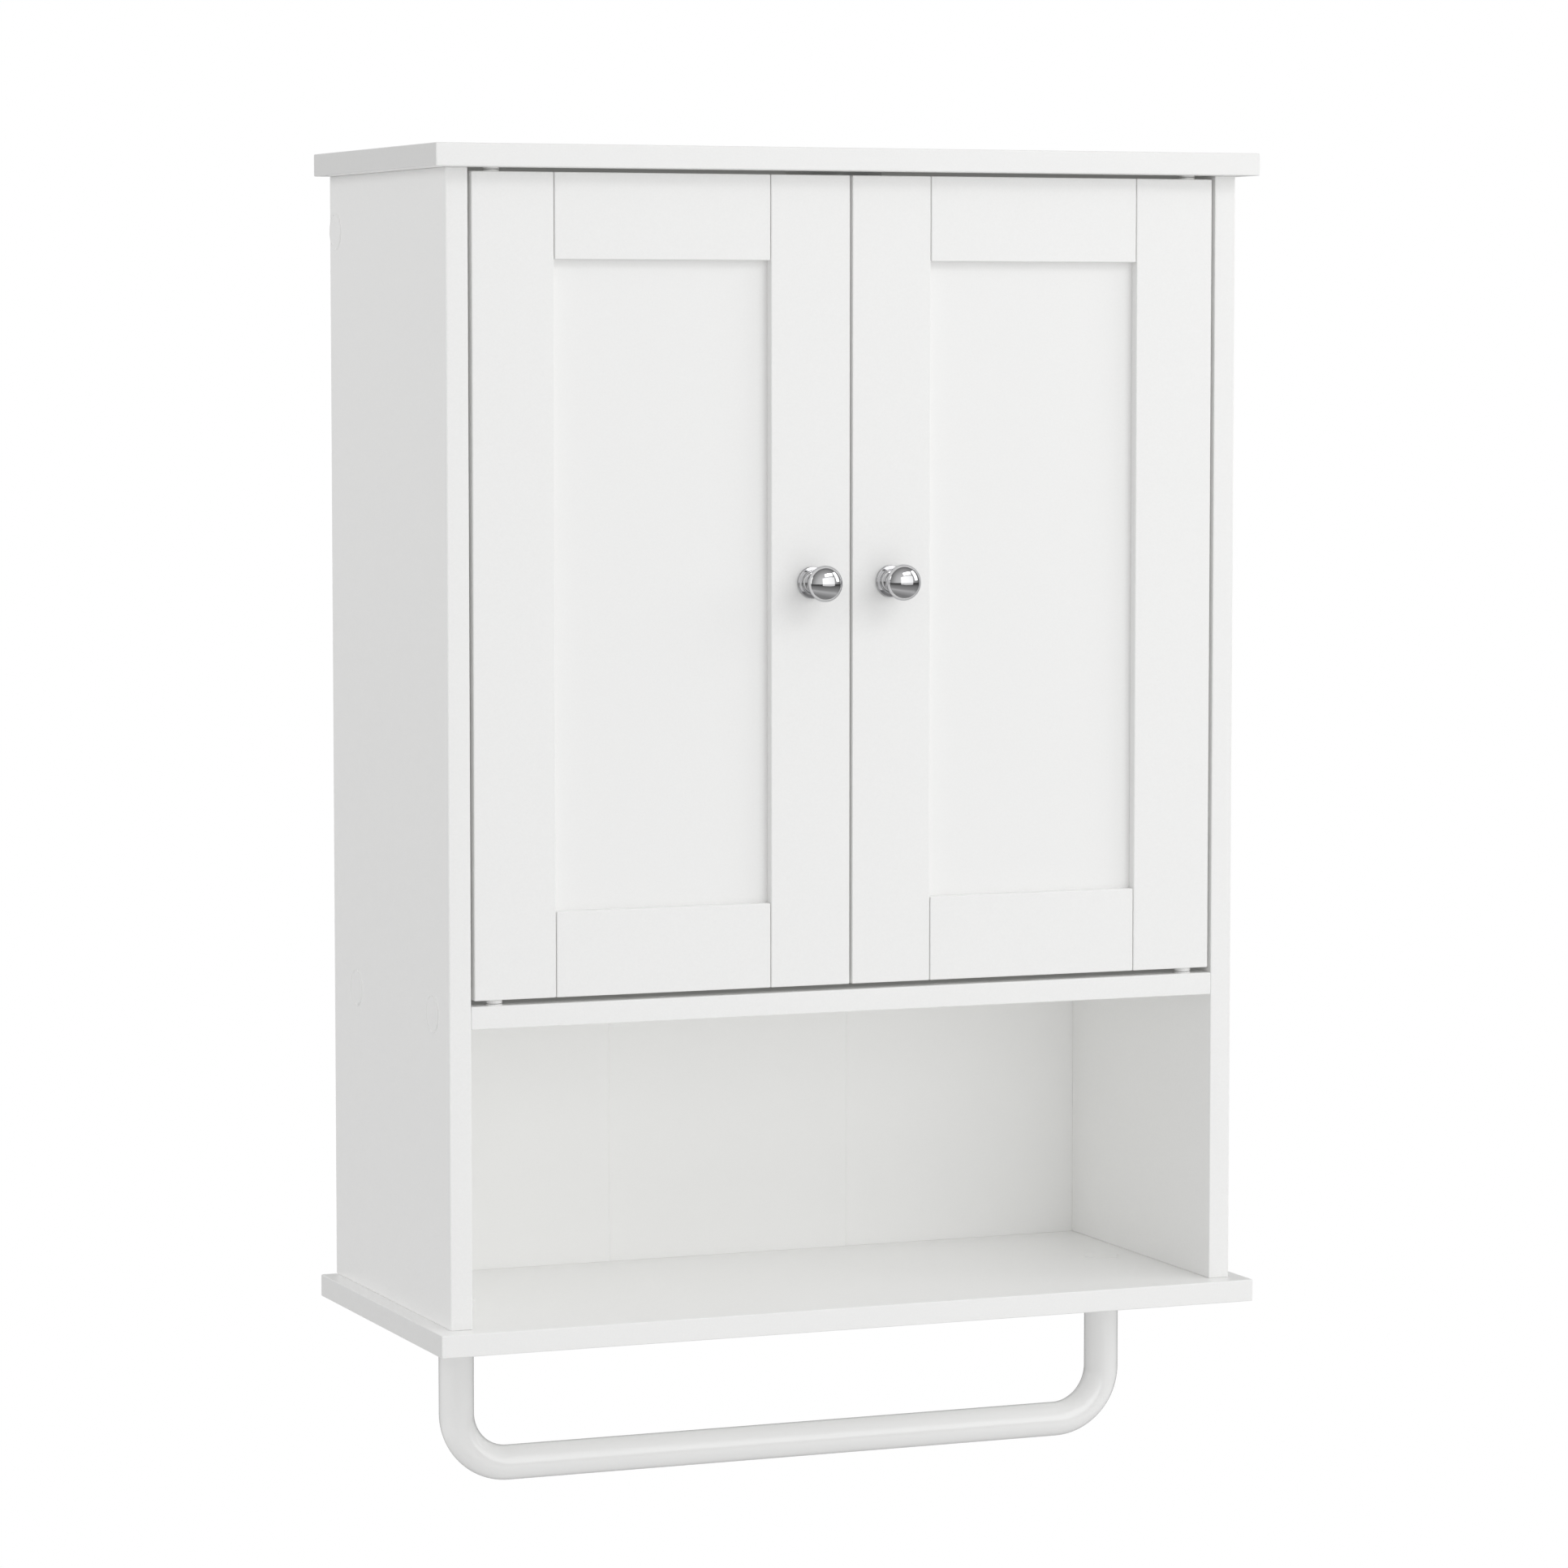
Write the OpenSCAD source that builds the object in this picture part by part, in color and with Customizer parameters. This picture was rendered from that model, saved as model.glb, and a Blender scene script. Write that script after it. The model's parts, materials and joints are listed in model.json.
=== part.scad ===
// Hanging wall cabinet: two framed doors over an open niche, with a towel bar underneath.
// Units are millimetres. X runs to the right, Y runs back to the wall and Z runs up.
// The origin lies on the wall plane, midway between the two wall screw holes.
// Paired pieces are drawn on the right (+X) side and mirrored to the left.

/* [Boards] */
// Width of the top and bottom boards
board_w = 470; // [440:1:600]
// Depth of the top and bottom boards, out from the wall
board_d = 209; // [200:1:260]
// Height from the underside of the bottom board to the top face
box_h = 628; // [580:1:800]
// Thickness of the carcass boards
board_t = 12; // [12:1:16]
// How far the top and bottom boards stand out past each side panel
side_overhang = 9; // [4:1:15]
// How far the top and bottom boards stand out in front of the side panels
front_overhang = 12; // [4:1:20]
// Clear height of the open niche under the fixed shelf
niche_h = 157.5; // [120:0.5:200]
// Thickness of the back panel
back_t = 3; // [3:0.5:4]
// How far the back panel's edges run into their grooves
groove_d = 5; // [4:0.5:6]
// Distance from the cabinet's middle to each fold line of the back panel
fold_x = 72; // [40:1:100]

/* [Wall fixing] */
// Thickness of the hanging rail behind the back panel
rail_t = 16; // [15:0.5:18]
// Height of the hanging rail
rail_h = 60; // [50:1:80]
// Distance between the two wall screw holes
wall_hole_spacing = 320; // [200:5:340]
// Diameter of the wall screw holes
wall_hole_d = 6; // [5:0.5:8]

/* [Adjustable shelf] */
// Depth of the adjustable shelf
loose_shelf_d = 154; // [120:1:154]
// Height step between two rows of shelf pin holes
pin_step = 32; // [25:1:40]
// Diameter of the shelf pin holes
pin_d = 5; // [4:0.5:6]

/* [Doors] */
// Thickness of the door frames
door_t = 12; // [12:0.5:14]
// Width of the stiles and rails
frame_w = 45; // [35:1:60]
// Depth of the door panel behind the frame's front face
panel_recess = 6; // [4:0.5:6]
// Thickness of the door panel
panel_t = 3; // [2.5:0.5:3]
// How far the panel's edges run into the frame
panel_groove = 6; // [4:0.5:7]
// Gap above the doors
gap_top = 2; // [2:0.5:4]
// Gap below the doors
gap_bottom = 3; // [3:0.5:5]
// Gap between a door and its side panel
gap_side = 2; // [2:0.5:4]
// Gap between the two doors
gap_middle = 1.5; // [1.5:0.5:4]
// Distance from a side panel to the door's pivot axis
pivot_in = 14.5; // [14.5:0.5:20]

/* [Knobs] */
// Distance from the cabinet's middle to a knob's axis
knob_x = 22.5; // [18:0.5:30]
// Diameter of the knob's ball
knob_d = 19; // [16:0.5:24]
// How far the knob stands out from the door
knob_out = 24; // [22:0.5:30]
// Diameter of the knob's foot
knob_foot_d = 17; // [14:0.5:20]

/* [Towel bar] */
// Outside diameter of the tube
bar_d = 19; // [16:0.5:25]
// Wall thickness of the tube
bar_wall = 1.2; // [1:0.1:1.5]
// Distance between the centrelines of the two legs
bar_span = 384; // [250:1:390]
// Distance from the bottom board's underside down to the bar's centreline
bar_drop = 79; // [60:1:120]
// Bend radius of the tube's centreline
bar_bend_r = 29; // [25:1:40]
// Distance of the bar's centreline from the wall
bar_out = 105; // [70:1:130]

/* [Hidden] */
$fn = 48;

// Clearance around a fastener in its hole, and the overrun of a cut past a face
snug = 0.05;
over = 1;
// Gap between faces that move past each other
slip = 0.3;

// Carcass planes
side_d = board_d - front_overhang;
front_y = -side_d;
inner_x = board_w / 2 - side_overhang - board_t;
outer_x = inner_x + board_t;
mid_board_x = inner_x + board_t / 2;
top_z = rail_h / 2;
floor_z = top_z - box_h + 2 * board_t;
under_z = floor_z - board_t;
shelf_z0 = floor_z + niche_h;
shelf_z1 = shelf_z0 + board_t;
back_y1 = -rail_t;
back_y0 = back_y1 - back_t;

// Columns of cams, shelf pins and base screws, then of dowels, along the depth
front_column = front_y + 37;
rear_column = -50;
front_dowel = front_column + 32;
rear_dowel = rear_column - 32;

// Cams: a disc in the side panel that pulls on a bolt from the top board
cam_r = 7.5;
cam_depth = 9.5;
cam_z = top_z - 24;
bolt_grip = 9;
bolt_thread_r = 3;
bolt_neck_r = 2.5;
bolt_head_r = 3.2;
bolt_head_h = 3;
bolt_hole_r = 4;

dowel_r = 3;
dowel_up = 8;
dowel_down = 20;

// Wood screws of the carcass
screw_r = 2.5;
screw_head_r = 4.5;
screw_head_h = 2.5;
screw_len = 45;
shelf_screw_front = front_y + 27.5;
shelf_screw_rear = -40;
rail_screw_y = -9;

// Round covers over the screw heads
cover_r = 10;
cover_t = 0.3;
rail_cover_y = -cover_r - 0.2;

// Shelf pins and the shelf that lies on them
pin_r = pin_d / 2;
pin_depth = 8;
pin_pad = [8, 10, 5];
pin_z = (shelf_z1 + top_z) / 2;
loose_y1 = back_y0 - 2;
loose_y0 = loose_y1 - loose_shelf_d;
loose_x = inner_x - 1;
loose_z0 = pin_z + pin_pad[2] / 2 + slip;

// Doors
door_x0 = gap_middle / 2;
door_x1 = inner_x - gap_side;
door_z0 = shelf_z1 + gap_bottom;
door_z1 = top_z - gap_top;
door_y1 = front_y + door_t;
lock_x = door_x0 + frame_w;
hinge_x = door_x1 - frame_w;
panel_y0 = front_y + panel_recess;
panel_y1 = panel_y0 + panel_t;
panel_z0 = door_z0 + frame_w;
panel_z1 = door_z1 - frame_w;
panel_play = 0.5;
frame_dowel_half = 14;
// Open joint line between a rail and a stile
frame_seam = 0.4;

// Pivots: a pin in the carcass turns in a flanged bush in the door
pivot_x = inner_x - pivot_in;
pivot_y = front_y + door_t / 2;
pivot_r = 2.5;
pivot_depth = 8;
pivot_flange_r = 4.4;
pivot_flange_t = 0.7;
bush_r = 4;
bush_bore_r = 2.55;
bush_len = 12;

// Magnetic catch under the top board
catch_w = 47;
catch_h = 13;
catch_y0 = front_y + 15;
catch_y1 = catch_y0 + 20;
magnet_x = 13.5;
magnet_z = top_z - catch_h / 2;
magnet_w = 14;
magnet_t = 4;
magnet_y0 = catch_y0 + 0.5;
magnet_y1 = catch_y0 + 14;
pole_t = 1.2;
pole_half = magnet_t / 2 + pole_t;
strike_t = 1.2;
strike_w = 18;
strike_h = 10;
strike_z = door_z1 - 0.5 - strike_h / 2;
strike_y = door_y1 + strike_t;
small_screw_r = 1.5;
small_head_r = 2.8;
catch_screw_len = 21;
strike_screw_len = 9;

// Knobs
knob_z = (door_z0 + door_z1) / 2;
knob_ball_half = 5.7;
knob_ball_y = knob_out - knob_ball_half;
knob_neck_r = 4.2;
knob_screw_r = 2;
knob_screw_head_r = 4;
knob_screw_head_h = 2.5;
knob_screw_in = 9;

// Towel bar fixing
bar_r = bar_d / 2;
bar_bore_r = bar_r - bar_wall;
leg_x = bar_span / 2;
bend_x = leg_x - bar_bend_r;
bar_z = under_z - bar_drop;
bend_z = bar_z + bar_bend_r;
insert_len = 22;
bar_screw_r = 3;
bar_screw_head_r = 5.5;
bar_screw_head_h = 3.5;
bar_counterbore = 4;
bar_screw_end_z = under_z - 18;

// ---- Shared shapes ----

// Box from its lowest to its highest corner
module block(lo, hi) {
    translate(lo)
        cube(hi - lo);
}

// Cylinders along each axis, from one end to the other
module rod_x(x0, x1, y, z, r) {
    translate([x0, y, z])
        rotate([0, 90, 0])
            cylinder(h = x1 - x0, r = r);
}

module rod_y(x, y0, y1, z, r) {
    translate([x, y0, z])
        rotate([-90, 0, 0])
            cylinder(h = y1 - y0, r = r);
}

module rod_z(x, y, z0, z1, r) {
    translate([x, y, z0])
        cylinder(h = z1 - z0, r = r);
}

// The right-hand shape and its mirror image
module both_sides() {
    children();
    mirror([1, 0, 0])
        children();
}

// The right-hand shape on the named side: 1 is right, -1 is left
module on_side(side) {
    mirror([side < 0 ? 1 : 0, 0, 0])
        children();
}

// Countersunk shape with its flat head at z = 0, pointing down
module countersunk(r, head_r, head_h, length) {
    translate([0, 0, -head_h])
        cylinder(h = head_h, r1 = r, r2 = head_r);
    translate([0, 0, -length])
        cylinder(h = length - head_h, r = r);
}

// Cross slot cut down into a screw head at z = 0
module cross_slot(size, depth) {
    for (turn = [0, 90])
        rotate([0, 0, turn])
            translate([-size / 2, -size / 10, -depth])
                cube([size, size / 5, depth + over]);
}

module wood_screw(r, head_r, head_h, length) {
    difference() {
        countersunk(r, head_r, head_h, length);
        cross_slot(head_r * 1.1, head_h * 0.7);
    }
}

// Hole for a wood screw, open past the face that the head is flush with
module wood_screw_hole(r, head_r, head_h, length) {
    countersunk(r + snug, head_r + snug, head_h, length + snug);
    cylinder(h = over, r = head_r + snug);
}

// Places a shape that points down so that it points along -X, +Z or -Y
module point_left(x, y, z) {
    translate([x, y, z])
        rotate([0, 90, 0])
            children();
}

module point_up(x, y, z) {
    translate([x, y, z])
        rotate([180, 0, 0])
            children();
}

module point_forward(x, y, z) {
    translate([x, y, z])
        rotate([-90, 0, 0])
            children();
}

// ---- Places that fasteners share with their holes ----

module at_shelf_screws() {
    for (y = [shelf_screw_front, shelf_screw_rear])
        point_left(outer_x, y, shelf_z0 + board_t / 2)
            children();
}

module at_rail_screw() {
    point_left(outer_x, rail_screw_y, 0)
        children();
}

module at_base_screws() {
    for (y = [front_column, rear_column])
        point_up(mid_board_x, y, under_z)
            children();
}

module at_catch_screws() {
    for (y = [catch_y0 + 5, catch_y0 + 15])
        point_up(0, y, top_z - catch_h)
            children();
}

module at_strike_screw() {
    point_forward(magnet_x, strike_y, strike_z)
        children();
}

// ---- Carcass ----

module top_board() {
    color("white")
        difference() {
            block([-board_w / 2, -board_d, top_z], [board_w / 2, 0, top_z + board_t]);
            back_panel_space();
            both_sides() {
                for (y = [front_column, rear_column])
                    rod_z(mid_board_x, y, top_z - over, top_z + bolt_grip + snug, bolt_thread_r + snug);
                for (y = [front_dowel, rear_dowel])
                    rod_z(mid_board_x, y, top_z - over, top_z + dowel_up + snug, dowel_r + snug);
                rod_z(pivot_x, pivot_y, top_z - over, top_z + pivot_depth + snug, pivot_r + snug);
            }
            at_catch_screws()
                countersunk(small_screw_r + snug, small_head_r, small_head_r, catch_screw_len + snug);
        }
}

module bottom_board() {
    color("white")
        difference() {
            block([-board_w / 2, -board_d, under_z], [board_w / 2, 0, floor_z]);
            back_panel_space();
            both_sides() {
                at_base_screws()
                    wood_screw_hole(screw_r, screw_head_r, screw_head_h, screw_len);
                rod_z(leg_x, -bar_out, under_z - over, floor_z + over, bar_screw_r + snug);
                rod_z(leg_x, -bar_out, floor_z - bar_counterbore, floor_z + over, bar_screw_head_r + 0.5);
            }
        }
}

// The groove all round the carcass that holds the back panel
module back_panel_space() {
    play = [0, 0.1, 0];
    reach = [inner_x + groove_d, 0, 0];
    block(-reach + [0, back_y0, floor_z - groove_d] - play,
          reach + [0, back_y1, top_z + groove_d] + play);
}

module side_panel() {
    color("gainsboro")
        difference() {
            block([inner_x, front_y, floor_z], [outer_x, 0, top_z]);
            back_panel_space();
            at_shelf_screws()
                wood_screw_hole(screw_r, screw_head_r, screw_head_h, screw_len);
            at_rail_screw()
                wood_screw_hole(screw_r, screw_head_r, screw_head_h, screw_len);
            at_base_screws()
                wood_screw_hole(screw_r, screw_head_r, screw_head_h, screw_len);
            for (y = [front_column, rear_column]) {
                rod_x(inner_x - over, inner_x + cam_depth, y, cam_z, cam_r);
                rod_z(mid_board_x, y, cam_z, top_z + over, bolt_hole_r);
                for (row = [-1, 0, 1])
                    rod_x(inner_x - over, inner_x + pin_depth + snug, y, pin_z + row * pin_step, pin_r + snug);
            }
            for (y = [front_dowel, rear_dowel])
                rod_z(mid_board_x, y, top_z - dowel_down - snug, top_z + over, dowel_r + snug);
        }
}

module fixed_shelf() {
    color("whitesmoke")
        difference() {
            block([-inner_x, front_y, shelf_z0], [inner_x, back_y0, shelf_z1]);
            both_sides() {
                at_shelf_screws()
                    wood_screw_hole(screw_r, screw_head_r, screw_head_h, screw_len);
                rod_z(pivot_x, pivot_y, shelf_z1 - pivot_depth - snug, shelf_z1 + over, pivot_r + snug);
            }
        }
}

module back_panel() {
    edge = groove_d - panel_play;
    fold_w = 0.8;
    fold_depth = 0.3;
    color("lightgray")
        difference() {
            block([-inner_x - edge, back_y0, floor_z - edge], [inner_x + edge, back_y1, top_z + edge]);
            both_sides() {
                rod_y(wall_hole_spacing / 2, back_y0 - over, back_y1 + over, 0, wall_hole_d);
                translate([fold_x, back_y0, floor_z - groove_d])
                    linear_extrude(box_h)
                        polygon([[-fold_w, -fold_depth], [fold_w, -fold_depth], [0, fold_depth]]);
            }
        }
}

module hanging_rail() {
    color("silver")
        difference() {
            block([-inner_x, back_y1, -rail_h / 2], [inner_x, 0, rail_h / 2]);
            both_sides() {
                rod_y(wall_hole_spacing / 2, back_y1 - over, over, 0, wall_hole_d / 2);
                at_rail_screw()
                    wood_screw_hole(screw_r, screw_head_r, screw_head_h, screw_len);
            }
        }
}

// ---- Carcass fixings ----

module cam_bolts() {
    color("lightsteelblue")
        both_sides()
            for (y = [front_column, rear_column]) {
                rod_z(mid_board_x, y, top_z, top_z + bolt_grip, bolt_thread_r);
                rod_z(mid_board_x, y, cam_z + bolt_head_h / 2, top_z, bolt_neck_r);
                rod_z(mid_board_x, y, cam_z - bolt_head_h / 2, cam_z + bolt_head_h / 2, bolt_head_r);
            }
}

module cam_locks() {
    face_t = 2.2;
    mouth = bolt_head_r + 0.3;
    color("lightslategray")
        both_sides()
            for (y = [front_column, rear_column])
                difference() {
                    rod_x(inner_x, inner_x + cam_depth - 0.2, y, cam_z, cam_r - snug);
                    block([inner_x + face_t, y - mouth, cam_z - mouth],
                          [outer_x, y + mouth, cam_z + cam_r + over]);
                    translate([inner_x, y, cam_z])
                        rotate([0, -90, 0])
                            cross_slot(9, 1.4);
                }
}

module top_dowels() {
    color("burlywood")
        both_sides()
            for (y = [front_dowel, rear_dowel])
                rod_z(mid_board_x, y, top_z - dowel_down, top_z + dowel_up, dowel_r);
}

module shelf_screws() {
    color("slategray")
        both_sides()
            at_shelf_screws()
                wood_screw(screw_r, screw_head_r, screw_head_h, screw_len);
}

module rail_screws() {
    color("slategray")
        both_sides()
            at_rail_screw()
                wood_screw(screw_r, screw_head_r, screw_head_h, screw_len);
}

module base_screws() {
    color("slategray")
        both_sides()
            at_base_screws()
                wood_screw(screw_r, screw_head_r, screw_head_h, screw_len);
}

module screw_covers() {
    color("snow")
        both_sides() {
            for (y = [shelf_screw_front, shelf_screw_rear])
                rod_x(outer_x, outer_x + cover_t, y, shelf_z0 + board_t / 2, cover_r);
            rod_x(outer_x, outer_x + cover_t, rail_cover_y, 0, cover_r);
            rod_z(leg_x, -bar_out, floor_z, floor_z + cover_t, cover_r);
        }
}

// ---- Adjustable shelf ----

module adjustable_shelf() {
    color("whitesmoke")
        block([-loose_x, loose_y0, loose_z0], [loose_x, loose_y1, loose_z0 + board_t]);
}

module shelf_pins() {
    color("gainsboro")
        both_sides()
            for (y = [front_column, rear_column]) {
                rod_x(inner_x, inner_x + pin_depth, y, pin_z, pin_r);
                translate([inner_x - pin_pad[0], y - pin_pad[1] / 2, pin_z - pin_pad[2] / 2])
                    cube(pin_pad);
            }
}

// ---- Towel bar ----

module tube_section() {
    difference() {
        circle(r = bar_r);
        circle(r = bar_bore_r);
    }
}

module towel_bar() {
    color("white") {
        translate([-bend_x, -bar_out, bar_z])
            rotate([0, 90, 0])
                linear_extrude(2 * bend_x)
                    tube_section();
        both_sides() {
            translate([bend_x, -bar_out, bend_z])
                rotate([-90, 0, 0])
                    rotate_extrude(angle = 90)
                        translate([bar_bend_r, 0])
                            tube_section();
            translate([leg_x, -bar_out, bend_z])
                linear_extrude(under_z - bend_z)
                    tube_section();
        }
    }
}

module bar_inserts() {
    color("lightsteelblue")
        both_sides()
            difference() {
                rod_z(leg_x, -bar_out, under_z - insert_len, under_z, bar_bore_r - snug);
                rod_z(leg_x, -bar_out, under_z - insert_len - over, under_z + over, bar_screw_r + snug);
            }
}

module bar_screws() {
    seat_z = floor_z - bar_counterbore;
    color("slategray")
        both_sides()
            difference() {
                union() {
                    rod_z(leg_x, -bar_out, bar_screw_end_z, seat_z, bar_screw_r);
                    rod_z(leg_x, -bar_out, seat_z, seat_z + bar_screw_head_h, bar_screw_head_r);
                }
                translate([leg_x, -bar_out, seat_z + bar_screw_head_h])
                    cross_slot(6, 2);
            }
}

// ---- Door pivots in the carcass ----

module top_pivot_pins() {
    color("ghostwhite")
        both_sides() {
            rod_z(pivot_x, pivot_y, top_z, top_z + pivot_depth, pivot_r);
            rod_z(pivot_x, pivot_y, top_z - pivot_flange_t, top_z, pivot_flange_r);
            rod_z(pivot_x, pivot_y, door_z1 - bush_len + 2, top_z - pivot_flange_t, pivot_r);
        }
}

module bottom_pivot_pins() {
    color("ghostwhite")
        both_sides() {
            rod_z(pivot_x, pivot_y, shelf_z1 - pivot_depth, shelf_z1, pivot_r);
            rod_z(pivot_x, pivot_y, shelf_z1, shelf_z1 + pivot_flange_t, pivot_flange_r);
            rod_z(pivot_x, pivot_y, shelf_z1 + pivot_flange_t, door_z0 + bush_len - 2, pivot_r);
        }
}

// ---- Magnetic catch ----

module catch_housing() {
    play = 0.1;
    color("whitesmoke")
        difference() {
            block([-catch_w / 2, catch_y0, top_z - catch_h], [catch_w / 2, catch_y1, top_z]);
            both_sides()
                block([magnet_x - magnet_w / 2 - play, catch_y0 - over, magnet_z - pole_half - play],
                      [magnet_x + magnet_w / 2 + play, magnet_y1 + play, magnet_z + pole_half + play]);
            at_catch_screws()
                wood_screw_hole(small_screw_r, small_head_r, small_head_r, catch_screw_len);
        }
}

module catch_magnets() {
    color("dimgray")
        both_sides()
            block([magnet_x - magnet_w / 2, magnet_y0, magnet_z - magnet_t / 2],
                  [magnet_x + magnet_w / 2, magnet_y1, magnet_z + magnet_t / 2]);
}

// Two steel plates a magnet, standing out of the housing to meet the strike plate
module catch_poles() {
    pole_y0 = strike_y + slip;
    color("silver")
        both_sides()
            for (z = [magnet_z - pole_half, magnet_z + magnet_t / 2])
                block([magnet_x - magnet_w / 2, pole_y0, z],
                      [magnet_x + magnet_w / 2, magnet_y1, z + pole_t]);
}

module catch_screws() {
    color("slategray")
        at_catch_screws()
            wood_screw(small_screw_r, small_head_r, small_head_r, catch_screw_len);
}

// ---- Doors: each piece is drawn for the right door ----

// The slot around the frame that holds the door panel
module door_panel_space() {
    play = [0, 0.05, 0];
    block([lock_x - panel_groove, panel_y0, panel_z0 - panel_groove] - play,
          [hinge_x + panel_groove, panel_y1, panel_z1 + panel_groove] + play);
}

module frame_dowel_rods(clear) {
    half = frame_dowel_half + clear;
    for (x = [lock_x, hinge_x])
        for (z = [door_z0 + frame_w / 2, door_z1 - frame_w / 2])
            rod_x(x - half, x + half, pivot_y, z, dowel_r + clear);
}

module hinge_stile() {
    color("white")
        difference() {
            block([hinge_x, front_y, door_z0], [door_x1, door_y1, door_z1]);
            door_panel_space();
            frame_dowel_rods(snug);
            rod_z(pivot_x, pivot_y, door_z0 - over, door_z0 + bush_len + snug, bush_r + snug);
            rod_z(pivot_x, pivot_y, door_z1 - bush_len - snug, door_z1 + over, bush_r + snug);
        }
}

module lock_stile() {
    color("white")
        difference() {
            block([door_x0, front_y, door_z0], [lock_x, door_y1, door_z1]);
            door_panel_space();
            frame_dowel_rods(snug);
            rod_y(knob_x, front_y - over, door_y1 + over, knob_z, knob_screw_r + 0.2);
            at_strike_screw()
                countersunk(small_screw_r + snug, small_head_r, strike_t, strike_screw_len + snug);
        }
}

module top_rail() {
    color("whitesmoke")
        difference() {
            block([lock_x + frame_seam, front_y, panel_z1], [hinge_x - frame_seam, door_y1, door_z1]);
            door_panel_space();
            frame_dowel_rods(snug);
        }
}

module bottom_rail() {
    color("whitesmoke")
        difference() {
            block([lock_x + frame_seam, front_y, door_z0], [hinge_x - frame_seam, door_y1, panel_z0]);
            door_panel_space();
            frame_dowel_rods(snug);
        }
}

module door_panel() {
    edge = panel_groove - panel_play;
    color("gainsboro")
        block([lock_x - edge, panel_y0, panel_z0 - edge], [hinge_x + edge, panel_y1, panel_z1 + edge]);
}

module frame_dowels() {
    color("burlywood")
        frame_dowel_rods(0);
}

// Flanged bushes pressed into the ends of the hinge stile
module pivot_bushes() {
    top_flange = gap_top - pivot_flange_t - slip;
    bottom_flange = gap_bottom - pivot_flange_t - slip;
    color("ghostwhite") {
        difference() {
            union() {
                rod_z(pivot_x, pivot_y, door_z1 - bush_len, door_z1, bush_r);
                rod_z(pivot_x, pivot_y, door_z1, door_z1 + top_flange, pivot_flange_r);
            }
            rod_z(pivot_x, pivot_y, door_z1 - bush_len - over, top_z + over, bush_bore_r);
        }
        difference() {
            union() {
                rod_z(pivot_x, pivot_y, door_z0, door_z0 + bush_len, bush_r);
                rod_z(pivot_x, pivot_y, door_z0 - bottom_flange, door_z0, pivot_flange_r);
            }
            rod_z(pivot_x, pivot_y, shelf_z1 - over, door_z0 + bush_len + over, bush_bore_r);
        }
    }
}

// Turned knob: a stepped foot, a neck and a flattened ball
module knob() {
    foot_r = knob_foot_d / 2;
    ball_r = knob_d / 2;
    start = asin(knob_neck_r / ball_r);
    ball_points = [
        for (step = [0:20])
            let (turn = 180 - start - step * (180 - start) / 20)
            [ball_r * sin(turn), knob_ball_y + knob_ball_half * cos(turn)]
    ];
    foot_points = [
        [0, 0], [foot_r, 0], [foot_r, 1.2], [foot_r - 0.5, 1.7], [foot_r - 1.9, 2],
        [foot_r - 2.2, 2.9], [foot_r - 2.8, 3.2], [knob_neck_r + 0.6, 4.4], [knob_neck_r, 6.5],
    ];
    color("silver")
        translate([knob_x, front_y, knob_z])
            rotate([90, 0, 0])
                difference() {
                    rotate_extrude()
                        polygon(concat(foot_points, ball_points));
                    translate([0, 0, -over])
                        cylinder(h = knob_screw_in + over, r = knob_screw_r + snug);
                }
}

module knob_screw() {
    color("slategray") {
        rod_y(knob_x, front_y - knob_screw_in + 0.5, door_y1, knob_z, knob_screw_r);
        difference() {
            rod_y(knob_x, door_y1, door_y1 + knob_screw_head_h, knob_z, knob_screw_head_r);
            point_forward(knob_x, door_y1 + knob_screw_head_h, knob_z)
                cross_slot(4.5, 1.5);
        }
    }
}

module strike_plate() {
    color("silver")
        difference() {
            block([magnet_x - strike_w / 2, door_y1, strike_z - strike_h / 2],
                  [magnet_x + strike_w / 2, strike_y, strike_z + strike_h / 2]);
            at_strike_screw()
                wood_screw_hole(small_screw_r, small_head_r, strike_t, strike_screw_len);
        }
}

module strike_screw() {
    color("slategray")
        at_strike_screw()
            wood_screw(small_screw_r, small_head_r, strike_t, strike_screw_len);
}

// ---- The assembly ----

top_board();
bottom_board();
on_side(-1) side_panel();  // left_side_panel
on_side(1) side_panel();  // right_side_panel
fixed_shelf();
back_panel();
hanging_rail();
cam_bolts();
cam_locks();
top_dowels();
shelf_screws();
rail_screws();
base_screws();
screw_covers();
adjustable_shelf();
shelf_pins();
towel_bar();
bar_inserts();
bar_screws();
top_pivot_pins();
bottom_pivot_pins();
catch_housing();
catch_magnets();
catch_poles();
catch_screws();
on_side(-1) hinge_stile();  // left_hinge_stile
on_side(-1) lock_stile();  // left_lock_stile
on_side(-1) top_rail();  // left_top_rail
on_side(-1) bottom_rail();  // left_bottom_rail
on_side(-1) door_panel();  // left_door_panel
on_side(-1) frame_dowels();  // left_frame_dowels
on_side(-1) pivot_bushes();  // left_pivot_bushes
on_side(-1) knob();  // left_knob
on_side(-1) knob_screw();  // left_knob_screw
on_side(-1) strike_plate();  // left_strike_plate
on_side(-1) strike_screw();  // left_strike_screw
on_side(1) hinge_stile();  // right_hinge_stile
on_side(1) lock_stile();  // right_lock_stile
on_side(1) top_rail();  // right_top_rail
on_side(1) bottom_rail();  // right_bottom_rail
on_side(1) door_panel();  // right_door_panel
on_side(1) frame_dowels();  // right_frame_dowels
on_side(1) pivot_bushes();  // right_pivot_bushes
on_side(1) knob();  // right_knob
on_side(1) knob_screw();  // right_knob_screw
on_side(1) strike_plate();  // right_strike_plate
on_side(1) strike_screw();  // right_strike_screw
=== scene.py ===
import json
import math

import bmesh
import bpy
from mathutils import Matrix, Vector

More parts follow.
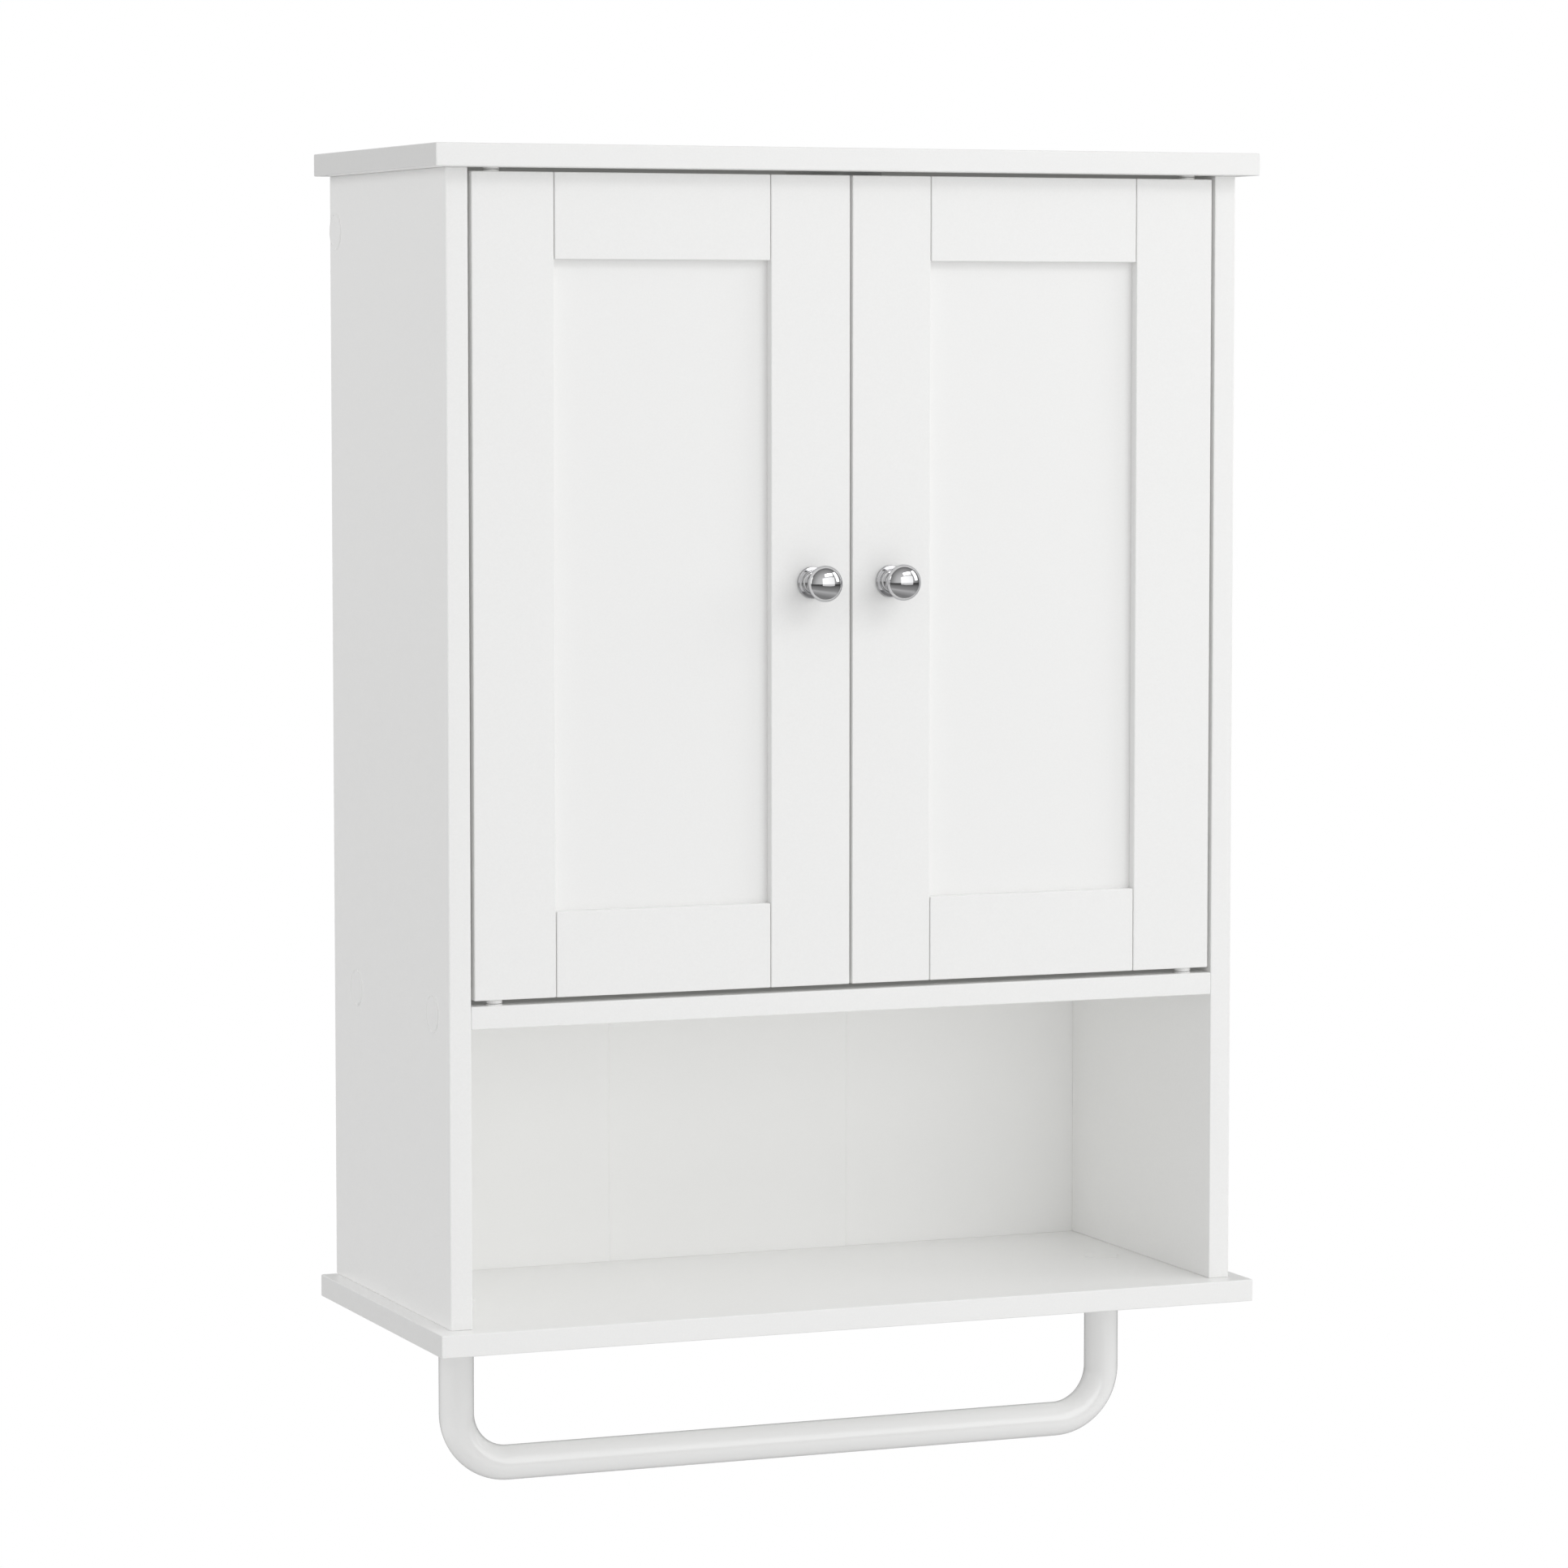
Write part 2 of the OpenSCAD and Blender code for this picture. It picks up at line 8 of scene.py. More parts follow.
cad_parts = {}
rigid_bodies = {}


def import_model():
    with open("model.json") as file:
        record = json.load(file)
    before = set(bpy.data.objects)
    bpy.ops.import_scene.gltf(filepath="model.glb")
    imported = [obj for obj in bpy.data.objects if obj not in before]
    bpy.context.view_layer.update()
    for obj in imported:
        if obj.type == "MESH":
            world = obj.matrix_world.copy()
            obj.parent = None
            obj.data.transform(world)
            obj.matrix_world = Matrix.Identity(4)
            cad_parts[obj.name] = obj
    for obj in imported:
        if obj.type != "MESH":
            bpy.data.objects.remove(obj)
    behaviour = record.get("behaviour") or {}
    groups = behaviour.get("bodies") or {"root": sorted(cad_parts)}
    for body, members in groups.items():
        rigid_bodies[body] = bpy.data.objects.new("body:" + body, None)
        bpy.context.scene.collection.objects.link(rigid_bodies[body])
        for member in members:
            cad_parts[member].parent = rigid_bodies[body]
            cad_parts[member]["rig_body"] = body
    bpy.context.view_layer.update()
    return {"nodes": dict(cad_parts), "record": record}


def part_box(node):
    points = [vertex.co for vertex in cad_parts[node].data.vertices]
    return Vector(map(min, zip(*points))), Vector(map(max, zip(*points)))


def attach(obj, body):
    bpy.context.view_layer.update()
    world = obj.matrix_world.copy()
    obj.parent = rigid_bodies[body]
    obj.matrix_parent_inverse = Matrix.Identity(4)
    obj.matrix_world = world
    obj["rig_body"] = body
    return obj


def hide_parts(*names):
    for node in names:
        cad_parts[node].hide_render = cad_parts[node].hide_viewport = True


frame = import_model()

MM = 0.001
SIDES = ("left", "right")
X_AXIS = Vector((1, 0, 0))
Y_AXIS = Vector((0, 1, 0))
Z_AXIS = Vector((0, 0, 1))


# ---- Materials ----

def start_material(name):
    material = bpy.data.materials.new(name)
    material.use_nodes = True
    tree = material.node_tree
    return material, tree, tree.nodes["Principled BSDF"]


def grey(value, warmth=0.0):
    """A near-neutral colour: warmth lowers its blue."""
    return (value, value, value * (1 - warmth), 1)


def noise(tree, per_metre, detail=2.0, stretch=(1, 1, 1)):
    """Noise fixed to the piece, with about this many features to the metre."""
    coords = tree.nodes.new("ShaderNodeTexCoord")
    scaling = tree.nodes.new("ShaderNodeMapping")
    scaling.inputs["Scale"].default_value = stretch
    texture = tree.nodes.new("ShaderNodeTexNoise")
    texture.inputs["Scale"].default_value = per_metre
    texture.inputs["Detail"].default_value = detail
    tree.links.new(coords.outputs["Object"], scaling.inputs["Vector"])
    tree.links.new(scaling.outputs["Vector"], texture.inputs["Vector"])
    return texture.outputs["Fac"]


def spread(tree, factor, low, high):
    """The middle of a noise, stretched to run from low to high."""
    ranged = tree.nodes.new("ShaderNodeMapRange")
    ranged.inputs["From Min"].default_value = 0.3
    ranged.inputs["From Max"].default_value = 0.7
    ranged.inputs["To Min"].default_value = low
    ranged.inputs["To Max"].default_value = high
    tree.links.new(factor, ranged.inputs["Value"])
    return ranged.outputs["Result"]


def mix_colours(tree, factor, dark, light):
    mix = tree.nodes.new("ShaderNodeMix")
    mix.data_type = "RGBA"
    mix.inputs["A"].default_value = dark
    mix.inputs["B"].default_value = light
    tree.links.new(factor, mix.inputs["Factor"])
    return mix.outputs["Result"]


def speckle(tree, shader, colour, amount, per_metre):
    """Colour that varies a little from grain to grain."""
    factor = spread(tree, noise(tree, per_metre), 0, 1)
    dark = tuple(c * (1 - amount) for c in colour[:3]) + (1,)
    light = tuple(min(1, c * (1 + amount)) for c in colour[:3]) + (1,)
    tree.links.new(mix_colours(tree, factor, dark, light), shader.inputs["Base Color"])


def vary_roughness(tree, shader, low, high, per_metre):
    factor = spread(tree, noise(tree, per_metre, 3), low, high)
    tree.links.new(factor, shader.inputs["Roughness"])


def add_bump(tree, shader, height, depth, strength=1.0):
    bump = tree.nodes.new("ShaderNodeBump")
    bump.inputs["Strength"].default_value = strength
    bump.inputs["Distance"].default_value = depth
    tree.links.new(height, bump.inputs["Height"])
    tree.links.new(bump.outputs["Normal"], shader.inputs["Normal"])


def melamine(name, value, speckle_amount=0.012):
    """White printed facing on board: satin, with a fine pebbled skin."""
    material, tree, shader = start_material(name)
    speckle(tree, shader, grey(value, 0.008), speckle_amount, 1100)
    vary_roughness(tree, shader, 0.33, 0.41, 240)
    add_bump(tree, shader, noise(tree, 1500), 0.02 * MM, 0.5)
    return material


def painted_steel(name, value):
    """White paint under a clear gloss coat, with a faint orange peel."""
    material, tree, shader = start_material(name)
    speckle(tree, shader, grey(value, 0.008), 0.004, 900)
    vary_roughness(tree, shader, 0.22, 0.26, 300)
    add_bump(tree, shader, noise(tree, 300, 1), 0.003 * MM, 0.2)
    shader.inputs["IOR"].default_value = 1.5
    shader.inputs["Coat Weight"].default_value = 1
    shader.inputs["Coat Roughness"].default_value = 0.07
    shader.inputs["Coat IOR"].default_value = 1.65
    return material


def chrome(name):
    """Polished chrome; its edge tint is darker than real chrome's, for dark rims."""
    material, tree, shader = start_material(name)
    speckle(tree, shader, (0.75, 0.75, 0.76, 1), 0.01, 300)
    vary_roughness(tree, shader, 0.04, 0.09, 500)
    shader.inputs["Metallic"].default_value = 1
    shader.inputs["Specular Tint"].default_value = (0.25, 0.25, 0.27, 1)
    return material


def moulded(name, value, low, high):
    """Moulded plastic, with its lowest and highest roughness."""
    material, tree, shader = start_material(name)
    speckle(tree, shader, grey(value, 0.01), 0.01, 700)
    vary_roughness(tree, shader, low, high, 400)
    add_bump(tree, shader, noise(tree, 2000), 0.01 * MM, 0.4)
    return material


def metal(name, colour, low, high, stretch):
    """Plated or cast metal; stretch draws its grain out."""
    material, tree, shader = start_material(name)
    speckle(tree, shader, colour, 0.06, 900)
    grain = spread(tree, noise(tree, 1200, 3, stretch), low, high)
    tree.links.new(grain, shader.inputs["Roughness"])
    add_bump(tree, shader, noise(tree, 1600, 3, stretch), 0.02 * MM, 0.5)
    shader.inputs["Metallic"].default_value = 1
    return material


def beech(name):
    material, tree, shader = start_material(name)
    grain = spread(tree, noise(tree, 700, 4, (0.08, 1, 1)), 0, 1)
    colour = mix_colours(tree, grain, (0.5, 0.32, 0.17, 1), (0.72, 0.52, 0.32, 1))
    tree.links.new(colour, shader.inputs["Base Color"])
    vary_roughness(tree, shader, 0.6, 0.75, 600)
    add_bump(tree, shader, noise(tree, 900, 3, (0.1, 1, 1)), 0.05 * MM)
    return material


def fibreboard(name):
    """Raw brown fibreboard, pressed, with short fibres."""
    material, tree, shader = start_material(name)
    fibres = spread(tree, noise(tree, 420, 5, (1, 1, 0.5)), 0, 1)
    colour = mix_colours(tree, fibres, (0.3, 0.19, 0.1, 1), (0.44, 0.31, 0.19, 1))
    tree.links.new(colour, shader.inputs["Base Color"])
    vary_roughness(tree, shader, 0.75, 0.9, 500)
    add_bump(tree, shader, noise(tree, 800, 4), 0.05 * MM)
    return material


def ferrite(name):
    material, tree, shader = start_material(name)
    speckle(tree, shader, (0.035, 0.035, 0.037, 1), 0.3, 1500)
    vary_roughness(tree, shader, 0.45, 0.6, 700)
    add_bump(tree, shader, noise(tree, 1800, 4), 0.04 * MM)
    return material


MATERIALS = {
    "white_board": melamine("white_board", 0.92),
    # The boards' ends are painted darker than their faces: painted shade, deeper on the top board
    # than on the bottom.
    "painted_shade_top_end": melamine("painted_shade_top_end", 0.76),
    "painted_shade_bottom_end": melamine("painted_shade_bottom_end", 0.84),
    # The back board's white is painted lighter than the other boards: painted light that
    # brightens the back of the open niche.
    "back_board": melamine("back_board", 0.96, 0.008),
    "door_frame": melamine("door_frame", 0.92),
    "door_panel": melamine("door_panel", 0.92),
    "raw_board": fibreboard("raw_board"),
    "white_painted_steel": painted_steel("white_painted_steel", 0.96),
    "chrome": chrome("chrome"),
    "white_nylon": moulded("white_nylon", 0.86, 0.25, 0.35),
    "catch_plastic": moulded("catch_plastic", 0.8, 0.4, 0.55),
    "cover_sticker": melamine("cover_sticker", 0.92, 0.006),
    "zinc_steel": metal("zinc_steel", (0.62, 0.64, 0.67, 1), 0.25, 0.4, (1, 1, 0.2)),
    "zinc_diecast": metal("zinc_diecast", (0.5, 0.5, 0.51, 1), 0.4, 0.6, (1, 1, 1)),
    "dowel_wood": beech("dowel_wood"),
    "ferrite": ferrite("ferrite"),
}


def slot_of(node):
    """The record's material slot that a CAD node takes its finish from."""
    return next(
        part["material_slot"] for part in frame["record"]["subparts"] if part["node"] == node)


# ---- Mesh helpers ----

WELD = 0.001 * MM
SMOOTH_UP_TO = math.radians(35)


def body_of(node):
    return frame["nodes"][node]["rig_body"]


def shade(bm):
    """Smooth shading, with the corners kept sharp."""
    for face in bm.faces:
        face.smooth = True
    for edge in bm.edges:
        edge.smooth = len(edge.link_faces) == 2 and edge.calc_face_angle() < SMOOTH_UP_TO


def replace_node(node, bm, materials):
    """Makes a piece of the mesh and shows it in place of the CAD node."""
    shade(bm)
    mesh = bpy.data.meshes.new(node + "_made")
    bm.to_mesh(mesh)
    bm.free()
    for material in materials:
        mesh.materials.append(material)
    piece = bpy.data.objects.new(node + "_made", mesh)
    bpy.context.scene.collection.objects.link(piece)
    weighted = piece.modifiers.new("even_normals", "WEIGHTED_NORMAL")
    weighted.keep_sharp = True
    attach(piece, body_of(node))
    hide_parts(node)
    return piece


def welded(node):
    """The CAD node's mesh, with its split corners joined and its flat faces whole."""
    bm = bmesh.new()
    bm.from_mesh(frame["nodes"][node].data)
    bmesh.ops.remove_doubles(bm, verts=bm.verts, dist=WELD)
    bmesh.ops.dissolve_limit(
        bm, angle_limit=math.radians(0.5), verts=bm.verts, edges=bm.edges)
    return bm


def on_box_edge(edge, lo, hi):
    """True for an edge that runs along an edge of the node's own box."""
    flush = 0
    for axis in range(3):
        low = all(abs(v.co[axis] - lo[axis]) < WELD for v in edge.verts)
        high = all(abs(v.co[axis] - hi[axis]) < WELD for v in edge.verts)
        flush += low or high
    return flush == 2


def islands(node):
    """The box of each separate solid of a node, in a fixed order."""
    bm = bmesh.new()
    bm.from_mesh(frame["nodes"][node].data)
    bmesh.ops.remove_doubles(bm, verts=bm.verts, dist=WELD)
    left = set(bm.verts)
    boxes = []
    while left:
        found = [left.pop()]
        for vert in found:
            for edge in vert.link_edges:
                other = edge.other_vert(vert)
                if other in left:
                    left.remove(other)
                    found.append(other)
        lo = Vector(min(v.co[axis] for v in found) for axis in range(3))
        hi = Vector(max(v.co[axis] for v in found) for axis in range(3))
        boxes.append((lo, hi))
    bm.free()
    return sorted(boxes, key=lambda box: tuple(round(c, 5) for c in (*box[0], *box[1])))


def place_along(origin, direction):
    """A matrix that takes the local Z axis to a direction at a place."""
    turn = Vector(direction).to_track_quat("Z", "Y").to_matrix().to_4x4()
    return Matrix.Translation(origin) @ turn


def ring_faces(bm, low, high):
    """Faces between two rings of points; either may be a single point."""
    count = max(len(low), len(high))
    for i in range(count):
        j = (i + 1) % count
        corners = [low[i % len(low)], low[j % len(low)], high[j % len(high)], high[i % len(high)]]
        unique = list(dict.fromkeys(corners))
        bm.faces.new(unique)


def add_lathe(bm, profile, place, sides, closed=False):
    """Turns (radius, height) points about local Z."""
    rings = []
    for radius, height in profile:
        if radius < WELD:
            rings.append([bm.verts.new(place @ Vector((0, 0, height)))])
            continue
        rings.append([
            bm.verts.new(place @ Vector((
                radius * math.cos(turn), radius * math.sin(turn), height)))
            for turn in (math.tau * side / sides for side in range(sides))])
    pairs = list(zip(rings, rings[1:]))
    if closed:
        pairs.append((rings[-1], rings[0]))
    for low, high in pairs:
        ring_faces(bm, low, high)


def arc(centre, radius, start, stop, steps):
    """(radius, height) points on an arc, from start to stop degrees."""
    return [
        (centre[0] + radius * math.cos(math.radians(angle)),
         centre[1] + radius * math.sin(math.radians(angle)))
        for angle in (start + (stop - start) * step / steps for step in range(steps + 1))]


def fix_normals(bm):
    bmesh.ops.recalc_face_normals(bm, faces=bm.faces)


def add_prism(bm, outlines, place):
    """A closed solid through outlines of equal length, each a list of (x, y) and a height."""
    rings = [
        [bm.verts.new(place @ Vector((x, y, height))) for x, y in outline]
        for outline, height in outlines]
    for low, high in zip(rings, rings[1:]):
        ring_faces(bm, low, high)
    bm.faces.new(rings[0])
    bm.faces.new(rings[-1])


def cut_away(bm, cutters):
    """Takes the cutters' shape out of the mesh."""
    objects = []
    for part in (bm, cutters):
        fix_normals(part)
        mesh = bpy.data.meshes.new("scratch")
        part.to_mesh(mesh)
        part.free()
        scratch = bpy.data.objects.new("scratch", mesh)
        bpy.context.scene.collection.objects.link(scratch)
        objects.append(scratch)
    cut = objects[0].modifiers.new("cut", "BOOLEAN")
    cut.operation = "DIFFERENCE"
    cut.solver = "EXACT"
    cut.object = objects[1]
    evaluated = objects[0].evaluated_get(bpy.context.evaluated_depsgraph_get())
    result = bmesh.new()
    result.from_mesh(evaluated.to_mesh())
    for scratch in objects:
        mesh = scratch.data
        bpy.data.objects.remove(scratch)
        bpy.data.meshes.remove(mesh)
    return result


# ---- Boards ----

BOARD_ROUND = 0.6 * MM
ROUND_STEPS = 3
FACES_ALONG = 0.9


def rounded_board(node, materials, pick=lambda face: 0):
    """The CAD board with its outer edges rounded; pick gives a face its material."""
    lo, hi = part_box(node)
    bm = welded(node)
    outer = [edge for edge in bm.edges if on_box_edge(edge, lo, hi)]
    bmesh.ops.bevel(
        bm, geom=outer, offset=BOARD_ROUND, offset_type="OFFSET", affect="EDGES",
        segments=ROUND_STEPS, profile=0.5, clamp_overlap=False)
    for face in bm.faces:
        face.material_index = pick(face)
    piece = replace_node(node, bm, materials)


def edge_finish(face):
    """0 is faced, 1 is an end whose white is painted darker as shade, 2 is the raw rear edge."""
    if face.normal.y > FACES_ALONG:
        return 2
    return 1 if abs(face.normal.x) > FACES_ALONG else 0


def raw_behind(face):
    """0 is faced, 1 is the raw side that looks at the wall."""
    return 1 if face.normal.y > FACES_ALONG else 0


def make_boards():
    white = MATERIALS["white_board"]
    raw = MATERIALS["raw_board"]
    # The top and bottom boards' ends take the whites painted darker as shade.
    rounded_board("top_board", [white, MATERIALS["painted_shade_top_end"], raw], edge_finish)
    rounded_board("bottom_board", [white, MATERIALS["painted_shade_bottom_end"], raw], edge_finish)
    for name in ("left_side_panel", "right_side_panel", "fixed_shelf", "adjustable_shelf"):
        rounded_board(name, [white, raw], raw_behind)
    rounded_board("hanging_rail", [white])


def make_back_panel():
    """Thin board: white inside the cabinet, raw against the wall."""
    bm = welded("back_panel")
    for face in bm.faces:
        face.material_index = raw_behind(face)
    piece = replace_node("back_panel", bm, [MATERIALS["back_board"], MATERIALS["raw_board"]])


def make_door_frames():
    for side in SIDES:
        for member in ("hinge_stile", "lock_stile", "top_rail", "bottom_rail"):
            rounded_board(f"{side}_{member}", [MATERIALS["door_frame"]])


# ---- Knobs ----

def knob_profile(depth):
    """(radius, height) points in millimetres, from the door outwards."""
    ball_r, ball_half, neck_r = 9.5, 5.7, 4.2
    foot_r, foot_side, foot_round, foot_break = 8.5, 1.1, 0.5, 0.2
    collar_r, collar_low, collar_high, collar_round = 6.5, 2.0, 2.5, 0.4
    step_round, neck_round, neck_z = 0.25, 1.9, 6.0
    ball_z = depth - ball_half
    foot = [(0, 0), (foot_r - foot_break, 0), (foot_r, foot_break), (foot_r, foot_side)]
    foot += arc((foot_r - foot_round, foot_side), foot_round, 0, 90, 5)[1:]
    foot += [(collar_r + step_round, collar_low - step_round)]
    foot += arc((collar_r + step_round, collar_low), step_round, -90, -180, 3)[1:]
    foot += [(collar_r, collar_high)]
    foot += arc((collar_r - collar_round, collar_high), collar_round, 0, 90, 4)[1:]
    foot += arc((neck_r + neck_round, neck_z), neck_round, -90, -180, 8)[1:]
    start = math.degrees(math.asin(neck_r / ball_r))
    steps = 40
    ball = []
    for step in range(steps + 1):
        turn = math.radians(180 - start - step * (180 - start) / steps)
        ball.append((ball_r * math.sin(turn), ball_z + ball_half * math.cos(turn)))
    return [(r * MM, h * MM) for r, h in foot + ball]


def make_knobs():
    for side in SIDES:
        node = f"{side}_knob"
        lo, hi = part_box(node)
        origin = Vector(((lo.x + hi.x) / 2, hi.y, (lo.z + hi.z) / 2))
        bm = bmesh.new()
        add_lathe(bm, knob_profile((hi.y - lo.y) / MM), place_along(origin, -Y_AXIS), 96)
        fix_normals(bm)
        piece = replace_node(node, bm, [MATERIALS["chrome"]])


# ---- Towel bar ----

BEND_RADIUS = 29 * MM
TUBE_WALL = 1.2 * MM


def towel_bar_path():
    """Points down one leg, round both bends and up the other, with their directions."""
    lo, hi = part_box("towel_bar")
    radius = (hi.y - lo.y) / 2
    middle_y = (lo.y + hi.y) / 2
    bend_x = hi.x - radius - BEND_RADIUS
    bend_z = lo.z + radius + BEND_RADIUS
    points = [(Vector((lo.x + radius, middle_y, hi.z)), -Z_AXIS)]
    steps = 24
    for centre_x, start in ((-bend_x, 180), (bend_x, 270)):
        for step in range(steps + 1):
            angle = math.radians(start + 90 * step / steps)
            outward = Vector((math.cos(angle), 0, math.sin(angle)))
            along = Vector((-math.sin(angle), 0, math.cos(angle)))
            centre = Vector((centre_x, middle_y, bend_z))
            points.append((centre + outward * BEND_RADIUS, along))
    points.append((Vector((hi.x - radius, middle_y, hi.z)), Z_AXIS))
    return points, radius


def make_towel_bar():
    path, radius = towel_bar_path()
    sides = 64
    bm = bmesh.new()
    skins = []
    for skin_radius in (radius, radius - TUBE_WALL):
        rings = []
        for point, along in path:
            across = Y_AXIS.cross(along)
            rings.append([
                bm.verts.new(point + skin_radius * (
                    math.cos(turn) * across + math.sin(turn) * Y_AXIS))
                for turn in (math.tau * side / sides for side in range(sides))])
        for low, high in zip(rings, rings[1:]):
            ring_faces(bm, low, high)
        skins.append(rings)
    for end in (0, -1):
        ring_faces(bm, skins[0][end], skins[1][end])
    fix_normals(bm)
    piece = replace_node("towel_bar", bm, [MATERIALS["white_painted_steel"]])


# ---- Screw covers ----

def make_screw_covers():
    """Thin round covers on the sides and the bottom board, with a fine groove near the rim."""
    rim, groove_top, groove_floor = 0.6 * MM, 0.25 * MM, 0.2 * MM
    bm = bmesh.new()
    for lo, hi in islands("screw_covers"):
        size = hi - lo
        axis = min(range(3), key=lambda i: size[i])
        radius = max(size) / 2
        thick = size[axis]
        direction = [X_AXIS, Y_AXIS, Z_AXIS][axis].copy()
        origin = (lo + hi) / 2
        if axis == 0 and origin.x < 0:
            direction.negate()
        origin -= direction * thick / 2
        groove = radius - rim
        chamfer = 0.3 * thick
        deepest = 0.05 * thick
        profile = [(0, 0), (radius, 0), (radius, thick - chamfer), (radius - chamfer, thick)]
        profile += [(groove + groove_top, thick), (groove + groove_floor, deepest)]
        profile += [(groove - groove_floor, deepest), (groove - groove_top, thick), (0, thick)]
        add_lathe(bm, profile, place_along(origin, direction), 64)
    fix_normals(bm)
    piece = replace_node("screw_covers", bm, [MATERIALS["cover_sticker"]])


# ---- Screws, bolts and dowels ----

SCREW_SIDES = 20
ROWS_PER_TURN = 6
CORE_SHARE = 0.72
RIDGE_HALF_WIDTH = 0.28

def cross_outline(reach, half_width):
    """The outline of a cross recess."""
    corners = []
    for quarter in range(4):
        turn = math.tau * quarter / 4
        for x, y in ((reach, -half_width), (reach, half_width), (half_width, half_width)):
            corners.append((
                x * math.cos(turn) - y * math.sin(turn), x * math.sin(turn) + y * math.cos(turn)))
    return corners


def add_cross(cutters, place, reach, depth):
    """A tapered cross, cut down from a head's top at local z = 0."""
    top = cross_outline(reach * 1.06, reach * 0.2)
    bottom = cross_outline(reach * 0.4, reach * 0.14)
    add_prism(cutters, [(bottom, -depth), (top, 0.06 * depth)], place)


def add_screw(bm, place, head, shank_r, length, thread_from, pitch, point):
    """A screw that points down local -Z from the top of its head.

    head is a list of (radius, height) points from the top's middle to the shank.
    """
    core_r = shank_r * CORE_SHARE
    rings = []
    for radius, height in head:
        if radius < WELD:
            rings.append([bm.verts.new(place @ Vector((0, 0, height)))])
        else:
            rings.append(screw_ring(bm, place, height, lambda turn: radius))
    rings.append(screw_ring(bm, place, thread_from, lambda turn: shank_r))
    rows = int((length + thread_from) / pitch * ROWS_PER_TURN)
    for row in range(1, rows):
        height = thread_from - row * (length + thread_from) / rows
        taper = min(1, (length + height) / point) if point else 1

        def thread(turn):
            phase = (height / pitch - turn / math.tau) % 1
            ridge = max(0, 1 - abs(phase - 0.5) / RIDGE_HALF_WIDTH)
            return taper * (core_r + (shank_r - core_r) * ridge)
        rings.append(screw_ring(bm, place, height, thread))
    rings.append([bm.verts.new(place @ Vector((0, 0, -length)))])
    for low, high in zip(rings, rings[1:]):
        ring_faces(bm, low, high)


def screw_ring(bm, place, height, radius_at):
    """A ring of points whose radius may change with the angle."""
    ring = []
    for side in range(SCREW_SIDES):
        turn = math.tau * side / SCREW_SIDES
        radius = radius_at(turn)
        ring.append(bm.verts.new(place @ Vector((
            radius * math.cos(turn), radius * math.sin(turn), height))))
    return ring


def countersunk_head(shank_r, head_r, head_h):
    """Flat on top, with a thin rim above the cone."""
    rim = 0.15 * MM
    return [(0, 0), (head_r, 0), (head_r, -rim), (shank_r, -head_h)]


def pan_head(shank_r, head_r, head_h):
    """Rounded over at the edge, and flat underneath."""
    rounding = 0.6 * head_h
    rim = arc((head_r - rounding, -rounding), rounding, 90, 0, 6)
    return [(0, 0)] + rim + [(head_r, -head_h), (shank_r, -head_h)]


def inwards(centre):
    """From the nearer side of the cabinet towards its middle."""
    return -X_AXIS if centre.x > 0 else X_AXIS


def make_screws(node, heading, shank_mm, head_h_mm, pitch_mm, flush=True, plain_mm=4, point_mm=4):
    """Every screw of a node; heading is a direction, or a function of the screw's middle."""
    bm = bmesh.new()
    cutters = bmesh.new()
    for lo, hi in islands(node):
        centre = (lo + hi) / 2
        direction = heading(centre) if callable(heading) else heading
        axis = max(range(3), key=lambda i: abs(direction[i]))
        length = hi[axis] - lo[axis]
        head_r = max(hi[i] - lo[i] for i in range(3) if i != axis) / 2
        place = place_along(centre - direction * length / 2, -direction)
        head_shape = countersunk_head if flush else pan_head
        head = head_shape(shank_mm * MM, head_r, head_h_mm * MM)
        add_screw(
            bm, place, head, shank_mm * MM, length, -(head_h_mm + plain_mm) * MM,
            pitch_mm * MM, point_mm * MM)
        add_cross(cutters, place, head_r * 0.55, head_h_mm * 0.75 * MM)
    made = cut_away(bm, cutters)
    piece = replace_node(node, made, [MATERIALS["zinc_steel"]])


def make_all_screws():
    make_screws("shelf_screws", inwards, 2.5, 2.5, 2.4)
    make_screws("rail_screws", inwards, 2.5, 2.5, 2.4)
    make_screws("base_screws", Z_AXIS, 2.5, 2.5, 2.4)
    make_screws("catch_screws", Z_AXIS, 1.5, 2.8, 1.4, plain_mm=2, point_mm=3)
    make_screws("bar_screws", -Z_AXIS, 3, 3.5, 1, flush=False, plain_mm=1, point_mm=0.5)
    for side in SIDES:
        make_screws(f"{side}_strike_screw", -Y_AXIS, 1.5, 1.2, 1.4, plain_mm=1, point_mm=3)
        make_screws(
            f"{side}_knob_screw", -Y_AXIS, 2, 2.5, 0.7, flush=False, plain_mm=3, point_mm=0.5)


def make_cam_bolts():
    """Threaded into the top board, with a waist and a head that the cam pulls on."""
    rounding, thread_r, waist_r = 0.5 * MM, 3 * MM, 2.3 * MM
    head_side, head_under, waist_top, head_cone = 2.6 * MM, 3 * MM, 3.4 * MM, 0.9 * MM
    thread_length, waist_end, shoulder = 9 * MM, 10.5 * MM, 9.5 * MM
    pitch = 1.8 * MM
    bm = bmesh.new()
    for lo, hi in islands("cam_bolts"):
        middle = (lo + hi) / 2
        place = place_along(Vector((middle.x, middle.y, lo.z)), -Z_AXIS)
        head_r = (hi.x - lo.x) / 2
        length = hi.z - lo.z
        head = [(0, 0)] + arc((head_r - rounding, -rounding), rounding, 90, 0, 5)
        head += [(head_r, -head_side), (head_r - head_cone, -head_under), (waist_r, -waist_top)]
        head += [(waist_r, waist_end - length), (thread_r, shoulder - length)]
        add_screw(bm, place, head, thread_r, length, thread_length - length, pitch, 0)
    fix_normals(bm)
    piece = replace_node("cam_bolts", bm, [MATERIALS["zinc_steel"]])


